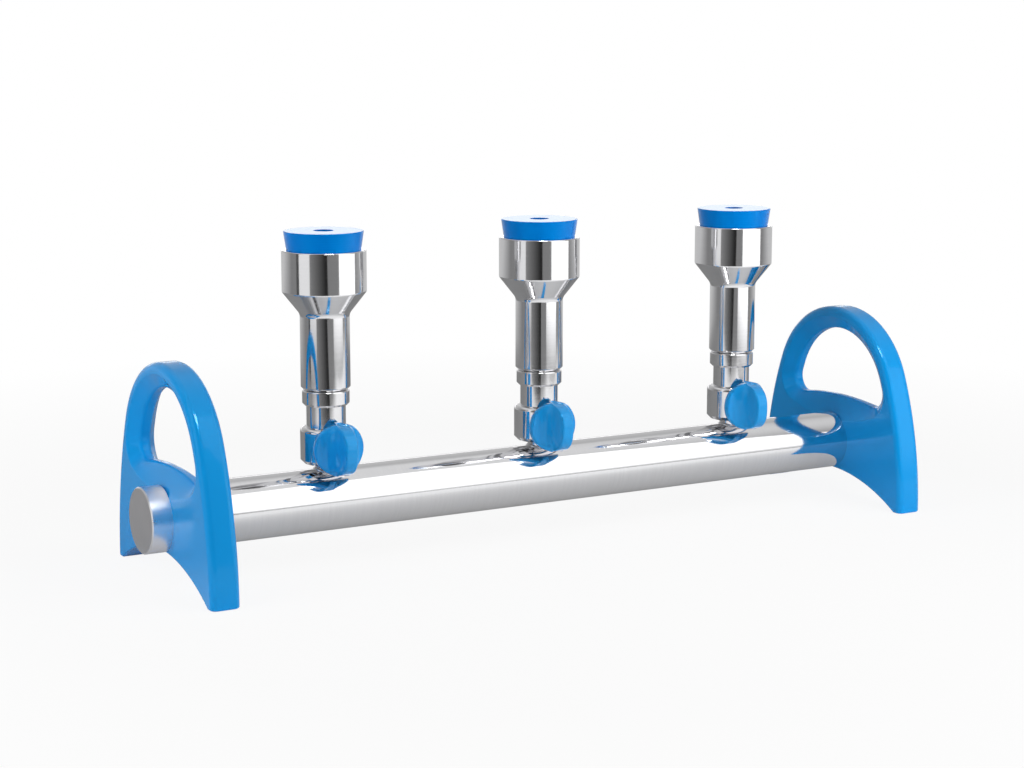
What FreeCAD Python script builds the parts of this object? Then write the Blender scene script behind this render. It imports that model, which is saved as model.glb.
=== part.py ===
import FreeCAD, Part
import Sketcher
import math
import os
import re

# Three-place vacuum filtration manifold, in millimetres.
# +X runs along the tube to the vacuum outlet, -Y is the knob side and +Z is up.
# The origin is on the bench, under the middle of the whole length.

driving_sizes = {
    # manifold tube and the row of stations on it
    "station_count": 3,
    "station_pitch": 124.0,
    "blind_margin": 74.0,
    "outlet_margin": 70.0,
    "tube_diameter": 32.0,
    "tube_wall": 1.5,
    "tube_axis_height": 32.0,
    # moulded handles, which are also the feet
    "handle_height": 108.5,
    "handle_half_width": 64.0,
    "handle_thickness": 15.0,
    "handle_side_radius": 200.0,
    "handle_edge_radius": 3.5,
    "foot_sole": 6.0,
    "foot_edge_radius": 1.0,
    "grip_width": 12.5,
    "grip_land": 5.0,
    "grip_flare": 7.0,
    "grip_throat_radius": 2.5,
    "grip_mouth_radius": 1.5,
    "sill_height": 57.5,
    "sill_flare": 14.0,
    "sill_bow": 6.7,
    "sill_corner_radius": 8.0,
    "crease_bow": 15.8,
    "crease_corner_radius": 14.0,
    # end plugs, caps and the hose nozzle
    "plug_length": 12.0,
    "plug_edge": 1.0,
    "plug_seal_section": 1.6,
    "stud_diameter": 12.0,
    "stud_reach": 7.0,
    "outlet_bore": 6.0,
    "cap_diameter": 33.0,
    "cap_length": 10.5,
    "cap_edge": 0.6,
    "nozzle_thread": 9.0,
    "nozzle_diameter": 10.0,
    "nozzle_length": 24.0,
    "nozzle_land": 8.0,
    "nozzle_barb_count": 3,
    "nozzle_barb_depth": 0.8,
    "nozzle_hex": 15.0,
    "nozzle_hex_height": 4.0,
    # valve on the tube
    "nipple_diameter": 12.0,
    "nipple_exposed": 3.0,
    "nipple_overhang": 1.0,
    "flow_bore": 4.5,
    "valve_body_diameter": 26.4,
    "valve_body_height": 18.4,
    "valve_body_shoulder": 2.0,
    "valve_body_chamfer": 2.0,
    "valve_flat_depth": 11.3,
    "ball_diameter": 11.0,
    "ball_gap": 0.5,
    "ball_slot_width": 2.0,
    "ball_slot_depth": 1.6,
    "seat_bore": 6.0,
    "seat_band": 3.5,
    "stem_diameter": 5.0,
    "stem_tongue": 1.8,
    "stem_tongue_width": 4.5,
    "stem_seal_section": 1.4,
    "bush_diameter": 9.0,
    "bush_length": 2.8,
    # valve knob
    "knob_diameter": 27.0,
    "knob_thickness": 6.0,
    "knob_edge_radius": 1.3,
    "knob_back_edge": 0.6,
    "knob_front_wall": 1.6,
    "knob_gap": 0.9,
    "knob_fin_height": 11.0,
    "knob_fin_width": 4.4,
    "knob_fin_inset": 0.4,
    "knob_fin_edge": 1.2,
    "grub_diameter": 2.5,
    "grub_length": 6.0,
    # adapter and lock ring between valve and holder
    "neck_diameter": 19.8,
    "neck_height": 11.2,
    "adapter_spigot": 14.0,
    "adapter_thread": 14.0,
    "adapter_thread_length": 16.0,
    "lock_ring_diameter": 23.8,
    "lock_ring_height": 7.9,
    "lock_ring_chamfer": 1.2,
    "lock_ring_edge": 0.8,
    # funnel holder
    "holder_gap": 0.4,
    "holder_stem_diameter": 25.0,
    "holder_stem_length": 38.0,
    "holder_stem_edge": 1.2,
    "holder_cone_height": 11.0,
    "holder_cone_blend": 4.0,
    "holder_shoulder_edge": 1.2,
    "holder_cup_diameter": 42.4,
    "holder_cup_height": 21.0,
    "holder_floor": 2.0,
    "holder_rim_edge": 0.6,
    "holder_bore": 12.0,
    "holder_seal_section": 1.6,
    # stopper
    "stopper_top_diameter": 40.0,
    "stopper_bottom_diameter": 33.0,
    "stopper_height": 25.0,
    "stopper_exposed": 9.4,
    "stopper_bore": 10.0,
    "stopper_edge": 0.5,
    # clearances between pieces that fit
    "push_fit": 0.05,
    "thread_fit": 0.1,
    "ball_fit": 0.15,
    "stopper_fit": 0.25,
}

doc = FreeCAD.newDocument("VacuumFiltrationManifold")
sheet = doc.addObject("Spreadsheet::Sheet", "sizes")
for row, (size_name, size_value) in enumerate(driving_sizes.items(), start=1):
    sheet.set(f"A{row}", size_name)
    sheet.set(f"B{row}", str(size_value))
    sheet.setAlias(f"B{row}", size_name)
doc.recompute()

# Heights up a station and distances along the tube, each worked out from the sizes above
tube_length = "((station_count - 1) * station_pitch + blind_margin + outlet_margin)"
middle_x = "(-nozzle_length / 2)"
valve_bottom = "(tube_axis_height + tube_diameter / 2 + nipple_exposed)"
valve_axis = f"({valve_bottom} + valve_body_height / 2)"
neck_bottom = f"({valve_bottom} + valve_body_height)"
ring_bottom = f"({neck_bottom} + neck_height)"
holder_bottom = f"({ring_bottom} + lock_ring_height + holder_gap)"
holder_height = "(holder_stem_length + holder_cone_height + holder_cup_height)"
socket_depth = "(adapter_thread_length + holder_seal_section - lock_ring_height - holder_gap)"
stopper_bottom = f"({holder_bottom} + {holder_height} + stopper_exposed - stopper_height)"
knob_back = "(valve_flat_depth + knob_gap)"
knob_bore_depth = "(knob_thickness - knob_front_wall)"
ball_room = "(ball_diameter / 2 + ball_gap)"
seat_room = "(ball_diameter / 2 + ball_fit)"


def spelled(expression):
    """Names the spreadsheet in front of every size that the expression uses."""
    return re.sub(r"[a-z_]{3,}", lambda word: f"sizes.{word.group()}" if word.group() in driving_sizes
                  else word.group(), str(expression))


def value(expression):
    """The number that an expression of sizes comes to."""
    return float(sheet.evalExpression(spelled(expression)))


def bind(target, property_name, expression):
    """Ties a property of an object to the sizes."""
    target.setExpression(property_name, spelled(expression))


def new_body(label, along="0", across="0", height="0"):
    """A body for one piece, placed from the sizes."""
    body = doc.addObject("PartDesign::Body", label)
    body.Label = label
    bind(body, "Placement.Base.x", along)
    bind(body, "Placement.Base.y", across)
    bind(body, "Placement.Base.z", height)
    return body


def new_sketch(body, name, role, offset="0"):
    """A sketch on one of the body's own planes, moved along the plane's normal by the offset."""
    sketch = body.newObject("Sketcher::SketchObject", name)
    plane = next(item for item in body.Origin.OriginFeatures if item.Role == role)
    sketch.AttachmentSupport = (plane, [""])
    sketch.MapMode = "FlatFace"
    bind(sketch, "AttachmentOffset.Base.z", offset)
    return sketch


def pin_point(sketch, side, end, x, y):
    """Holds one end of a side at the place that two expressions give."""
    for kind, place in (("DistanceX", x), ("DistanceY", y)):
        index = sketch.addConstraint(Sketcher.Constraint(kind, -1, 1, side, end, value(place)))
        sketch.setExpression(f"Constraints[{index}]", spelled(place))


def arc_between(start, end, bend):
    """The short arc from start to end; a positive bend turns left on the way."""
    chord = end - start
    middle = (start + end) / 2
    left = FreeCAD.Vector(-chord.y, chord.x, 0).normalize()
    rise = math.sqrt(bend ** 2 - (chord.Length / 2) ** 2)
    centre = middle + left * math.copysign(rise, bend)
    first, last = (start, end) if bend > 0 else (end, start)
    angles = [math.atan2(point.y - centre.y, point.x - centre.x) for point in (first, last)]
    circle = Part.Circle(centre, FreeCAD.Vector(0, 0, 1), abs(bend))
    return Part.ArcOfCircle(circle, *angles)


def draw_outline(sketch, corners):
    """Closed outline through the corners (x, y), or (x, y, bend) where an arc leaves the corner."""
    points = [FreeCAD.Vector(value(corner[0]), value(corner[1]), 0) for corner in corners]
    near_ends = []
    for number, corner in enumerate(corners):
        start, end = points[number], points[(number + 1) % len(points)]
        bend = value(corner[2]) if len(corner) > 2 else 0
        sketch.addGeometry(arc_between(start, end, bend) if bend else Part.LineSegment(start, end), False)
        near_ends.append(2 if bend < 0 else 1)
        if bend:
            radius = sketch.addConstraint(Sketcher.Constraint("Radius", number, abs(bend)))
            sketch.setExpression(f"Constraints[{radius}]", spelled(f"abs({corner[2]})"))
    for number, corner in enumerate(corners):
        before = (number - 1) % len(corners)
        sketch.addConstraint(Sketcher.Constraint(
            "Coincident", before, 3 - near_ends[before], number, near_ends[number]))
        pin_point(sketch, number, near_ends[number], corner[0], corner[1])


def draw_circle(sketch, x, y, diameter):
    """A circle in the sketch, tied to the sizes."""
    centre = FreeCAD.Vector(value(x), value(y), 0)
    side = sketch.addGeometry(Part.Circle(centre, FreeCAD.Vector(0, 0, 1), value(diameter) / 2), False)
    pin_point(sketch, side, 3, x, y)
    index = sketch.addConstraint(Sketcher.Constraint("Diameter", side, value(diameter)))
    sketch.setExpression(f"Constraints[{index}]", spelled(diameter))


def turn(body, name, axis, corners, kind="PartDesign::Revolution"):
    """Turns a profile about the body's X, Y or Z axis.

    The corners are (along, radius), from the near end outwards, along the outside and back inside;
    (along, radius, bend) starts a bulging arc, or a hollow one where the bend is negative.
    """
    sketch = new_sketch(body, f"{name}_profile", "YZ_Plane" if axis == "Y" else "XZ_Plane")
    if axis == "Z":
        corners = [(radius, along, *bend) for along, radius, *bend in corners]
    else:
        corners = [(along, radius, *[f"-({size})" for size in bend]) for along, radius, *bend in corners]
    draw_outline(sketch, corners)
    feature = body.newObject(kind, name)
    feature.Profile = sketch
    feature.ReferenceAxis = (sketch, ["V_Axis" if axis == "Z" else "H_Axis"])
    feature.Angle = 360
    return feature


def turned_piece(label, axis, corners, **place):
    """A piece that is turned in one go from a single profile."""
    body = new_body(label, **place)
    turn(body, f"{label}_turned", axis, corners)
    return body


def groove(body, name, axis, corners):
    """Turns a profile about an axis of the body and takes it away."""
    return checked_cut(body, lambda: turn(body, name, axis, corners, "PartDesign::Groove"))


def checked_cut(body, make_cut):
    """Makes a cut and makes sure that it took material away."""
    doc.recompute()
    before = body.Shape.Volume
    feature = make_cut()
    doc.recompute()
    if not body.Shape.Volume < before:
        raise RuntimeError(f"{feature.Name} cuts nothing")
    return feature


def pad(body, sketch, name, length, both_ways=False):
    """Raises a sketch to a length, to one side or evenly to both."""
    feature = body.newObject("PartDesign::Pad", name)
    feature.Profile = sketch
    feature.SideType = "Symmetric" if both_ways else "One side"
    bind(feature, "Length", length)
    return feature


def pocket(body, sketch, name, length, both_ways=False, along_normal=True):
    """Cuts a sketch to a depth, along the sketch's normal unless told otherwise."""
    def make_cut():
        feature = body.newObject("PartDesign::Pocket", name)
        feature.Profile = sketch
        feature.SideType = "Symmetric" if both_ways else "One side"
        feature.Reversed = along_normal
        bind(feature, "Length", length)
        return feature
    return checked_cut(body, make_cut)


def round_edges(body, name, radius, wanted):
    """Rounds the edges of the body that the test picks."""
    doc.recompute()
    base = body.Tip
    picked = [f"Edge{number}" for number, edge in enumerate(base.Shape.Edges, start=1) if wanted(edge)]
    feature = body.newObject("PartDesign::Fillet", name)
    feature.Base = (base, picked)
    bind(feature, "Radius", radius)
    return feature


# Manifold tube, with a hole in its top wall under each station
def make_tube():
    body = new_body("manifold_tube", along=middle_x, height="tube_axis_height")
    outer = "tube_diameter / 2"
    inner = "tube_diameter / 2 - tube_wall"
    turn(body, "tube_turned", "X", [
        (f"-{tube_length} / 2", inner),
        (f"{tube_length} / 2", inner),
        (f"{tube_length} / 2", outer),
        (f"-{tube_length} / 2", outer),
    ])
    sketch = new_sketch(body, "nipple_holes", "XY_Plane")
    for station in range(1, station_count + 1):
        draw_circle(sketch, station_offset(station), "0", "nipple_diameter + 2 * push_fit")
    pocket(body, sketch, "nipple_holes_cut", "tube_diameter / 2")
    return body


def station_offset(station):
    """How far a station stands from the tube's middle."""
    return f"(blind_margin - {tube_length} / 2 + ({station} - 1) * station_pitch)"


def station_x(station):
    """Where a station stands on the X axis."""
    return f"({middle_x} + {station_offset(station)})"


# Handle outline: a crown arc that runs smoothly into a long side arc on each side.
# The side arcs stand upright at the bench, so their centres are at bench height.
def handle_arcs(inset):
    """Crown centre height, crown and side radii and the place where they meet, all set in."""
    half_width = value("handle_half_width")
    height = value("handle_height")
    side = value("handle_side_radius")
    side_centre = half_width - side
    crown = (side ** 2 - side_centre ** 2 - height ** 2) / (2 * (side - height))
    crown_centre = height - crown
    reach = (side - inset) / (side - crown)
    return {
        "crown_centre": crown_centre,
        "crown": crown - inset,
        "side": side - inset,
        "side_centre": side_centre,
        "meet_y": side_centre * (1 - reach),
        "meet_z": crown_centre * reach,
    }


def far_crossing(first, first_radius, second, second_radius):
    """Where two circles cross; of the two places, the one further out along the first axis."""
    way = second - first
    along = (first_radius ** 2 - second_radius ** 2 + way.Length ** 2) / (2 * way.Length)
    aside = math.sqrt(first_radius ** 2 - along ** 2)
    way.normalize()
    across = FreeCAD.Vector(way.y, -way.x, 0) * math.copysign(1, way.y)
    return first + way * along + across * aside


def rounded_corner(wall_centre, wall_radius, sill_centre, sill_bend, corner_radius):
    """The two places where a corner arc runs smoothly into a wall arc and into the sill."""
    corner = far_crossing(wall_centre, wall_radius - corner_radius,
                          sill_centre, abs(sill_bend - corner_radius))
    on_wall = wall_centre + (corner - wall_centre).normalize() * wall_radius
    on_sill = sill_centre + (corner - sill_centre).normalize() * abs(sill_bend)
    return on_wall, on_sill


def hole_outline(inset, sill, bow, corner_radius):
    """The hand hole: the handle's own arcs set in, closed by a bowed sill with rounded corners.

    A positive bow lets the middle of the sill hang below its ends, a negative one lets it rise.
    """
    arcs = handle_arcs(inset)
    half_span = value("handle_half_width") - inset
    sill_bend = (half_span ** 2 + bow ** 2) / (2 * bow)
    sill_centre = FreeCAD.Vector(0, sill + sill_bend, 0)
    side_centre = FreeCAD.Vector(arcs["side_centre"], 0, 0)
    crown_centre = FreeCAD.Vector(0, arcs["crown_centre"], 0)
    shoulder = FreeCAD.Vector(arcs["meet_y"], arcs["meet_z"], 0)
    wall_bend = arcs["side"]
    on_wall, on_sill = rounded_corner(side_centre, wall_bend, sill_centre, sill_bend, corner_radius)
    if on_wall.y > shoulder.y:
        # The sill lies above the side arcs, so its corners run into the crown instead
        wall_bend = arcs["crown"]
        on_wall, on_sill = rounded_corner(crown_centre, wall_bend, sill_centre, sill_bend, corner_radius)
        shoulder = on_wall + FreeCAD.Vector(0, corner_radius / 2, 0)
        shoulder = crown_centre + (shoulder - crown_centre).normalize() * wall_bend
    return [
        (on_sill.x, on_sill.y, corner_radius),
        (on_wall.x, on_wall.y, wall_bend),
        (shoulder.x, shoulder.y, arcs["crown"]),
        (-shoulder.x, shoulder.y, wall_bend),
        (-on_wall.x, on_wall.y, corner_radius),
        (-on_sill.x, on_sill.y, sill_bend),
    ]


# Handle: one moulding with the grip loop, the web that the tube butts against and two feet
def make_handle(label, along):
    body = new_body(label, along=along)
    arcs = handle_arcs(0)
    arch_top = "(tube_axis_height - tube_diameter / 2)"
    arch_half = "(handle_half_width - foot_sole)"
    arch_radius = f"(({arch_half} ^ 2 + {arch_top} ^ 2) / (2 * {arch_top}))"
    outline = new_sketch(body, f"{label}_outline", "YZ_Plane")
    draw_outline(outline, [
        ("handle_half_width", "0", "handle_side_radius"),
        (arcs["meet_y"], arcs["meet_z"], arcs["crown"]),
        (-arcs["meet_y"], arcs["meet_z"], "handle_side_radius"),
        ("-handle_half_width", "0"),
        (f"-{arch_half}", "0", f"-{arch_radius}"),
        (arch_half, "0"),
    ])
    pad(body, outline, f"{label}_pad", "handle_thickness", both_ways=True)
    for side, sign in (("west", -1), ("east", 1)):
        flare_hand_hole(body, f"{label}_{side}_flare", sign)
    throat = new_sketch(body, f"{label}_throat", "YZ_Plane")
    draw_outline(throat, throat_outline())
    pocket(body, throat, f"{label}_hand_hole", "handle_thickness * 2", both_ways=True)
    bore = new_sketch(body, f"{label}_bore", "YZ_Plane")
    draw_circle(bore, "0", "tube_axis_height", "stud_diameter + 2 * thread_fit")
    pocket(body, bore, f"{label}_bore_cut", "handle_thickness * 2", both_ways=True)
    round_edges(body, f"{label}_throat_round", "grip_throat_radius",
                lambda edge: lies_at(edge, value("grip_land / 2")))
    round_edges(body, f"{label}_rim_round", "handle_edge_radius",
                lambda edge: on_face(edge) and on_outline(edge))
    tube_middle = value("tube_axis_height")
    round_edges(body, f"{label}_mouth_round", "grip_mouth_radius",
                lambda edge: on_face(edge) and edge.BoundBox.ZMin > tube_middle)
    round_edges(body, f"{label}_foot_round", "foot_edge_radius",
                lambda edge: on_face(edge) and edge.BoundBox.ZMax < tube_middle)
    return body


def throat_outline():
    """The narrowest ring of the hand hole."""
    return hole_outline(value("grip_width"), value("sill_height"), -value("sill_bow"),
                        value("sill_corner_radius"))


def mouth_outline():
    """The hand hole where it opens into a face of the handle."""
    return hole_outline(value("grip_width - grip_flare"), value("sill_height - sill_flare"),
                        value("crease_bow"), value("crease_corner_radius"))


def flare_hand_hole(body, name, sign):
    """Opens the hand hole all the way round, from the land in its middle out to one face."""
    throat = new_sketch(body, f"{name}_throat", "YZ_Plane", f"{sign} * grip_land / 2")
    draw_outline(throat, throat_outline())
    mouth = new_sketch(body, f"{name}_mouth", "YZ_Plane", f"{sign} * handle_thickness / 2")
    draw_outline(mouth, mouth_outline())

    def make_cut():
        feature = body.newObject("PartDesign::SubtractiveLoft", name)
        feature.Profile = throat
        feature.Sections = [mouth]
        feature.Ruled = True
        return feature
    return checked_cut(body, make_cut)


def lies_at(edge, distance):
    """Whether an edge lies flat at a distance from the handle's middle plane."""
    return edge.BoundBox.XLength < 1e-6 and abs(abs(edge.BoundBox.XMin) - distance) < 1e-6


def on_face(edge):
    """Whether an edge lies in one of the handle's two faces."""
    return lies_at(edge, value("handle_thickness / 2"))


def on_outline(edge):
    """Whether an edge is part of the handle's crown or sides."""
    arcs = handle_arcs(0)
    return edge.Curve.TypeId == "Part::GeomCircle" and min(
        abs(edge.Curve.Radius - arcs["crown"]), abs(edge.Curve.Radius - arcs["side"])) < 1e-4


def ring_at(radius, height):
    """A test for the round edge that has a radius and lies at a height in its body."""
    def wanted(edge):
        curve = edge.Curve
        return (curve.TypeId == "Part::GeomCircle" and abs(curve.Radius - value(radius)) < 1e-4
                and abs(curve.Center.z - value(height)) < 1e-4)
    return wanted


# End plugs: each closes the tube, and its stud passes through the handle into the cap
def make_end_plug(label, side, bored):
    body = new_body(label, along=f"{middle_x} + {side} * {tube_length} / 2", height="tube_axis_height")
    inside = "tube_diameter / 2 - tube_wall - push_fit"
    groove_floor = f"{inside} - push_fit - plug_seal_section"
    groove_start = "plug_length / 2 - plug_seal_section / 2 - push_fit"
    groove_end = "plug_length / 2 + plug_seal_section / 2 + push_fit"
    bore = "outlet_bore / 2" if bored else "0"
    turn(body, f"{label}_turned", "X", mirrored_along(side, [
        ("-plug_length", bore),
        ("-plug_length", f"{inside} - plug_edge"),
        ("plug_edge - plug_length", inside),
        (f"-({groove_end})", inside),
        (f"-({groove_end})", groove_floor),
        (f"-({groove_start})", groove_floor),
        (f"-({groove_start})", inside),
        ("0", inside),
        ("0", "stud_diameter / 2"),
        ("handle_thickness + stud_reach", "stud_diameter / 2"),
        ("handle_thickness + stud_reach", bore),
    ]))
    return body


def mirrored_along(side, corners):
    """The corners of a profile, turned end for end when the side is -1."""
    if side == 1:
        return corners
    return [(f"-({along})", radius) for along, radius in reversed(corners)]


# Seal rings, all of them plain round-section rings
def make_seal(label, ring_radius, section, axis, along, across, height):
    ring = doc.addObject("Part::Torus", label)
    ring.Label = label
    bind(ring, "Radius1", ring_radius)
    bind(ring, "Radius2", f"({section}) / 2")
    turns = {"X": FreeCAD.Rotation(FreeCAD.Vector(0, 1, 0), 90),
             "Y": FreeCAD.Rotation(FreeCAD.Vector(1, 0, 0), 90),
             "Z": FreeCAD.Rotation()}
    ring.Placement = FreeCAD.Placement(FreeCAD.Vector(), turns[axis])
    bind(ring, "Placement.Base.x", along)
    bind(ring, "Placement.Base.y", across)
    bind(ring, "Placement.Base.z", height)
    return ring


def make_plug_seal(label, side):
    return make_seal(label, "tube_diameter / 2 - tube_wall - 2 * push_fit - plug_seal_section / 2",
                     "plug_seal_section", "X",
                     f"{middle_x} + {side} * ({tube_length} / 2 - plug_length / 2)",
                     "0", "tube_axis_height")


# End caps: round nuts that clamp the handles against the tube's ends
def make_end_cap(label, side, nozzle_hole):
    body = new_body(label, along=f"{middle_x} + {side} * ({tube_length} / 2 + handle_thickness)",
                    height="tube_axis_height")
    thread = "stud_diameter / 2 + thread_fit"
    outer = "cap_diameter / 2"
    front = "nozzle_thread / 2 + thread_fit" if nozzle_hole else "0"
    turn(body, f"{label}_turned", "X", mirrored_along(side, [
        ("0", thread),
        ("0", outer),
        ("cap_length - cap_edge", outer),
        ("cap_length", f"{outer} - cap_edge"),
        ("cap_length", front),
        ("stud_reach", front),
        ("stud_reach", thread),
    ]))
    return body


# Hose nozzle: screwed into the outlet cap, with a hexagon, a plain land and barbs
def make_hose_nozzle(label):
    body = new_body(label, along=f"{middle_x} + {tube_length} / 2 + handle_thickness + cap_length",
                    height="tube_axis_height")
    bore = "outlet_bore / 2"
    crest = "nozzle_diameter / 2"
    root = "(nozzle_hex_height + nozzle_land)"
    pitch = f"((nozzle_length - {root}) / nozzle_barb_count)"
    corners = [
        ("stud_reach - cap_length", bore),
        ("stud_reach - cap_length", "nozzle_thread / 2"),
        ("0", "nozzle_thread / 2"),
        ("0", crest),
    ]
    for barb in range(int(value("nozzle_barb_count"))):
        corners.append((f"{root} + {barb} * {pitch}", crest))
        corners.append((f"{root} + {barb + 1} * {pitch}", f"{crest} - nozzle_barb_depth"))
    corners.append(("nozzle_length", bore))
    turn(body, f"{label}_turned", "X", corners)
    hexagon = new_sketch(body, f"{label}_hexagon", "YZ_Plane")
    reach = value("nozzle_hex") / math.sqrt(3)
    draw_outline(hexagon, [(reach * math.cos(math.radians(60 * corner)),
                            reach * math.sin(math.radians(60 * corner))) for corner in range(6)])
    pad(body, hexagon, f"{label}_hexagon_pad", "nozzle_hex_height")
    bore_again = new_sketch(body, f"{label}_bore", "YZ_Plane")
    draw_circle(bore_again, "0", "0", "outlet_bore")
    pocket(body, bore_again, f"{label}_bore_cut", "nozzle_length")
    return body


# Nipple: welded into the tube's top wall, it carries the valve
def make_nipple(station):
    base = "tube_axis_height + tube_diameter / 2 - tube_wall - nipple_overhang"
    length = f"({valve_bottom} - ({base}))"
    return turned_piece(f"station_{station}_nipple", "Z", [
        ("0", "flow_bore / 2"),
        ("0", "nipple_diameter / 2"),
        (length, "nipple_diameter / 2"),
        (length, "flow_bore / 2"),
    ], along=station_x(station), height=base)


# Valve body: upright and round, with room for the ball, a flat for the knob and a cross bore
def make_valve_body(station):
    body = new_body(f"station_{station}_valve_body", along=station_x(station), height=valve_axis)
    half = "valve_body_height / 2"
    outer = "valve_body_diameter / 2"
    spigot = "adapter_spigot / 2 + thread_fit"
    turn(body, "valve_body_turned", "Z", [
        (f"-{half}", "flow_bore / 2"),
        (f"-{half}", f"{outer} - valve_body_chamfer"),
        (f"valve_body_chamfer - {half}", outer),
        (f"{half} - valve_body_shoulder", outer, "valve_body_shoulder"),
        (half, f"{outer} - valve_body_shoulder"),
        (half, spigot),
        (ball_room, spigot),
        (ball_room, ball_room),
        (f"-{ball_room}", ball_room),
        (f"-{ball_room}", "flow_bore / 2"),
    ])
    flat = new_sketch(body, "valve_flat", "XZ_Plane", "valve_flat_depth")
    draw_outline(flat, [(f"-{outer}", f"-{half}"), (outer, f"-{half}"), (outer, half), (f"-{outer}", half)])
    pocket(body, flat, "valve_flat_cut", outer)
    bush = "bush_diameter / 2 + thread_fit"
    seal = "stem_diameter / 2 + 2 * push_fit + stem_seal_section"
    stem = "stem_diameter / 2 + push_fit"
    bush_end = "valve_flat_depth - bush_length"
    seal_end = f"{bush_end} - stem_seal_section - push_fit"
    groove(body, "cross_bore", "Y", [
        (f"-{outer}", "0"),
        (f"-{outer}", bush),
        (f"-({bush_end})", bush),
        (f"-({bush_end})", seal),
        (f"-({seal_end})", seal),
        (f"-({seal_end})", stem),
        ("-ball_diameter / 2", stem),
        ("-ball_diameter / 2", "0"),
    ])
    return body


# Valve ball: bored upright when the valve is open, with a slot for the stem's tongue across it
def make_ball(station):
    name = f"station_{station}_valve_ball"
    sphere = doc.addObject("Part::Sphere", f"{name}_sphere")
    bind(sphere, "Radius", "ball_diameter / 2")
    bore = doc.addObject("Part::Cylinder", f"{name}_bore")
    bind(bore, "Radius", "flow_bore / 2")
    bind(bore, "Height", "2 * ball_diameter")
    bind(bore, "Placement.Base.z", "-ball_diameter")
    slot = doc.addObject("Part::Box", f"{name}_slot")
    bind(slot, "Length", "ball_diameter")
    bind(slot, "Width", "ball_diameter")
    bind(slot, "Height", "ball_slot_width")
    bind(slot, "Placement.Base.x", "-ball_diameter / 2")
    bind(slot, "Placement.Base.y", "ball_slot_depth - 3 * ball_diameter / 2")
    bind(slot, "Placement.Base.z", "-ball_slot_width / 2")
    bored = doc.addObject("Part::Cut", f"{name}_bored")
    bored.Base = sphere
    bored.Tool = bore
    ball = doc.addObject("Part::Cut", name)
    ball.Base = bored
    ball.Tool = slot
    ball.Label = name
    bind(ball, "Placement.Base.x", station_x(station))
    bind(ball, "Placement.Base.z", valve_axis)
    return ball


# Ball seats: one ring under the ball and one over it, each hollowed to the ball's curve
def make_seat(station, name, side):
    bore = value("seat_bore") / 2
    outer = value(ball_room) - value("push_fit")
    curve = value(seat_room)
    inner_rise = math.sqrt(curve ** 2 - bore ** 2)
    band_end = value(ball_room) - value("seat_band")
    band_radius = math.sqrt(curve ** 2 - band_end ** 2)
    corners = [
        (value(ball_room), bore),
        (inner_rise, bore, -curve),
        (band_end, band_radius),
        (band_end, outer),
        (value(ball_room), outer),
    ]
    if side < 0:
        corners = [(-inner_rise, bore), (-value(ball_room), bore), (-value(ball_room), outer),
                   (-band_end, outer), (-band_end, band_radius, -curve)]
    return turned_piece(f"station_{station}_{name}", "Z", corners,
                        along=station_x(station), height=valve_axis)


# Valve stem: turns in the bush, with a flat tongue in the ball's slot
def make_stem(station):
    body = new_body(f"station_{station}_valve_stem", along=station_x(station), height=valve_axis)
    inner_end = "ball_diameter / 2 + thread_fit"
    outer_end = f"{knob_back} + {knob_bore_depth} - thread_fit"
    radius = "stem_diameter / 2"
    turn(body, "stem_turned", "Y", [
        (f"-({outer_end})", "0"),
        (f"-({outer_end})", radius),
        (f"-({inner_end})", radius),
        (f"-({inner_end})", "0"),
    ])
    tongue = new_sketch(body, "stem_tongue_outline", "XZ_Plane", inner_end)
    wide = "stem_tongue_width / 2"
    tall = "stem_tongue / 2"
    draw_outline(tongue, [(f"-{wide}", f"-{tall}"), (wide, f"-{tall}"), (wide, tall), (f"-{wide}", tall)])
    feature = pad(body, tongue, "stem_tongue_pad", "ball_slot_depth")
    feature.Reversed = True
    return body


# Bush: holds the stem and its seal in the valve body
def make_bush(station):
    return turned_piece(f"station_{station}_stem_bush", "Y", [
        ("-valve_flat_depth", "stem_diameter / 2 + push_fit"),
        ("-valve_flat_depth", "bush_diameter / 2"),
        ("bush_length - valve_flat_depth", "bush_diameter / 2"),
        ("bush_length - valve_flat_depth", "stem_diameter / 2 + push_fit"),
    ], along=station_x(station), height=valve_axis)


def make_stem_seal(station):
    return make_seal(f"station_{station}_stem_seal",
                     "stem_diameter / 2 + push_fit + stem_seal_section / 2", "stem_seal_section", "Y",
                     station_x(station),
                     "-(valve_flat_depth - bush_length - stem_seal_section / 2 - push_fit / 2)", valve_axis)


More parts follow.
